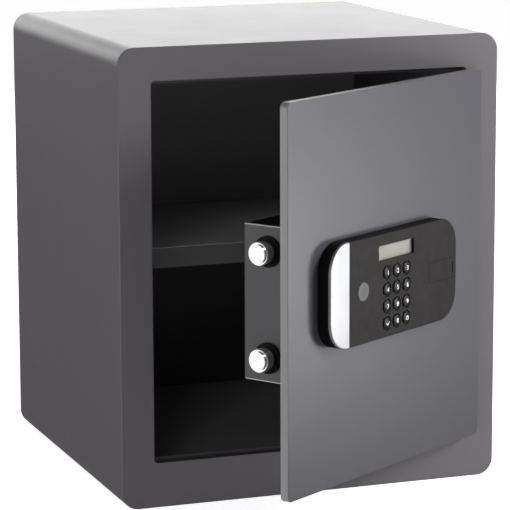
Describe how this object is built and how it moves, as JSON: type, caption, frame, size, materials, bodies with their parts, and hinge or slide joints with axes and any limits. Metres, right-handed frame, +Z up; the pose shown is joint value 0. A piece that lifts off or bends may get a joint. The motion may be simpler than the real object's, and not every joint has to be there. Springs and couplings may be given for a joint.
{
  "type": "in-room safe",
  "caption": "Free-standing steel in-room safe with a side-hung door, electronic keypad lock, sliding round bolts and an inner shelf.",
  "frame": {"origin": "middle of the underside of the base, on the surface that it stands on", "axes": "+Z up, +Y from the front towards the back, +X towards the hinge side (the right, seen from the front)"},
  "size_m": [0.35, 0.4943, 0.4],
  "materials": {
    "body_paint": "fine satin powder coat, dark grey",
    "door_paint": "smooth satin enamel, dark grey",
    "rear_paint": "satin dark grey",
    "shelf_paint": "satin dark grey",
    "inner_paint": "satin dark grey",
    "case_steel": "satin dark grey",
    "zinc_steel": "zinc plated",
    "bolt_chrome": "polished",
    "black_plastic": "fine matt black",
    "fascia_plastic": "satin charcoal",
    "bright_trim": "bright satin",
    "badge_metal": "brushed",
    "key_plastic": "gloss black",
    "button_red": "gloss red",
    "key_rubber": "matt",
    "lens": "clear",
    "lcd": "pale grey-green",
    "circuit": "solder-masked board",
    "lock_brass": "satin",
    "pinion_steel": "machined",
    "cell_jacket": "printed film, plain",
    "cable_sheath": "matt",
    "felt": "short pile"
  },
  "bodies": {
    "carcass": {"body_shell": "body_paint", "rear_panel": "rear_paint", "front_frame": "body_paint", "door_stop_frame": "inner_paint", "bolt_strike": "inner_paint", "floor_tray": "inner_paint", "floor_mat": "felt", "shelf": "shelf_paint", "shelf_rails": "shelf_paint", "hinge_bracket_lower": "inner_paint", "hinge_bracket_upper": "inner_paint", "hinge_pins": "zinc_steel", "hinge_washers": "zinc_steel"},
    "door": {"accent_panel": "bright_trim", "badge_disc": "badge_metal", "batteries": "cell_jacket", "battery_holder": "black_plastic", "bolt_collars": "black_plastic", "case_end_caps": "black_plastic", "case_screws": "zinc_steel", "control_board": "circuit", "door_plate": "door_paint", "gearbox": "zinc_steel", "hinge_arm_lower": "inner_paint", "hinge_arm_upper": "inner_paint", "hinge_bushes": "lock_brass", "hinge_screws": "zinc_steel", "key_mat": "key_rubber", "keypad_board": "circuit", "keypad_cable": "cable_sheath", "keypad_fascia": "fascia_plastic", "keypad_housing": "black_plastic", "keypad_screws": "zinc_steel", "lcd_module": "lcd", "lcd_window": "lens", "lock_case": "case_steel", "lock_chassis": "case_steel", "motor": "zinc_steel", "override_barrel": "lock_brass"},
    "bolt_work": {"bolt_upper": "bolt_chrome", "bolt_lower": "bolt_chrome", "bolt_carrier": "case_steel", "bolt_screws": "zinc_steel"},
    "drive_pinion": {"drive_pinion": "pinion_steel"},
    "override_cover": {"override_cover": "fascia_plastic"},
    "override_plug": {"override_plug": "lock_brass"},
    "battery_cover": {"battery_cover": "black_plastic"},
    "reset_button": {"reset_button": "button_red"},
    "key_1": {"key_1": "key_plastic"},
    "key_2": {"key_2": "key_plastic"},
    "key_3": {"key_3": "key_plastic"},
    "key_4": {"key_4": "key_plastic"},
    "key_5": {"key_5": "key_plastic"},
    "key_6": {"key_6": "key_plastic"},
    "key_7": {"key_7": "key_plastic"},
    "key_8": {"key_8": "key_plastic"},
    "key_9": {"key_9": "key_plastic"},
    "key_enter": {"key_enter": "key_plastic"},
    "key_0": {"key_0": "key_plastic"},
    "key_lock": {"key_lock": "key_plastic"}
  },
  "joints": [
    {"name": "door_hinge", "type": "hinge", "parent": "carcass", "child": "door", "pos_m": [0.163, -0.147, 0], "axis": [0, 0, 1], "range_deg": [-33, 67]},
    {"name": "bolt_throw", "type": "slide", "parent": "door", "child": "bolt_work", "axis": [-0.8387, -0.5446, 0], "range_m": [0, 0.02]},
    {"name": "pinion_spin", "type": "hinge", "parent": "door", "child": "drive_pinion", "pos_m": [-0.00758, -0.2387, 0.212], "axis": [-0.5446, 0.8387, 0], "range_deg": [0, 143.3]},
    {"name": "override_cover_slide", "type": "slide", "parent": "door", "child": "override_cover", "axis": [0.8387, 0.5446, 0], "range_m": [0, 0.042]},
    {"name": "override_plug_turn", "type": "hinge", "parent": "door", "child": "override_plug", "pos_m": [0.08097, -0.20981, 0.2045], "axis": [-0.5446, 0.8387, 0], "range_deg": [0, 90]},
    {"name": "battery_cover_slide", "type": "slide", "parent": "door", "child": "battery_cover", "axis": [0.8387, 0.5446, 0], "range_m": [0, 0.06]},
    {"name": "reset_press", "type": "slide", "parent": "door", "child": "reset_button", "axis": [0.5446, -0.8387, 0], "range_m": [0, 0.001], "stiffness_N_per_m": 300},
    {"name": "key_1_press", "type": "slide", "parent": "door", "child": "key_1", "axis": [-0.5446, 0.8387, 0], "range_m": [0, 0.001], "stiffness_N_per_m": 300},
    {"name": "key_2_press", "type": "slide", "parent": "door", "child": "key_2", "axis": [-0.5446, 0.8387, 0], "range_m": [0, 0.001], "stiffness_N_per_m": 300},
    {"name": "key_3_press", "type": "slide", "parent": "door", "child": "key_3", "axis": [-0.5446, 0.8387, 0], "range_m": [0, 0.001], "stiffness_N_per_m": 300},
    {"name": "key_4_press", "type": "slide", "parent": "door", "child": "key_4", "axis": [-0.5446, 0.8387, 0], "range_m": [0, 0.001], "stiffness_N_per_m": 300},
    {"name": "key_5_press", "type": "slide", "parent": "door", "child": "key_5", "axis": [-0.5446, 0.8387, 0], "range_m": [0, 0.001], "stiffness_N_per_m": 300},
    {"name": "key_6_press", "type": "slide", "parent": "door", "child": "key_6", "axis": [-0.5446, 0.8387, 0], "range_m": [0, 0.001], "stiffness_N_per_m": 300},
    {"name": "key_7_press", "type": "slide", "parent": "door", "child": "key_7", "axis": [-0.5446, 0.8387, 0], "range_m": [0, 0.001], "stiffness_N_per_m": 300},
    {"name": "key_8_press", "type": "slide", "parent": "door", "child": "key_8", "axis": [-0.5446, 0.8387, 0], "range_m": [0, 0.001], "stiffness_N_per_m": 300},
    {"name": "key_9_press", "type": "slide", "parent": "door", "child": "key_9", "axis": [-0.5446, 0.8387, 0], "range_m": [0, 0.001], "stiffness_N_per_m": 300},
    {"name": "key_enter_press", "type": "slide", "parent": "door", "child": "key_enter", "axis": [-0.5446, 0.8387, 0], "range_m": [0, 0.001], "stiffness_N_per_m": 300},
    {"name": "key_0_press", "type": "slide", "parent": "door", "child": "key_0", "axis": [-0.5446, 0.8387, 0], "range_m": [0, 0.001], "stiffness_N_per_m": 300},
    {"name": "key_lock_press", "type": "slide", "parent": "door", "child": "key_lock", "axis": [-0.5446, 0.8387, 0], "range_m": [0, 0.001], "stiffness_N_per_m": 300}
  ],
  "couplings": [
    {"joint": "pinion_spin", "follows": "bolt_throw", "rad_per_m": 125}
  ]
}
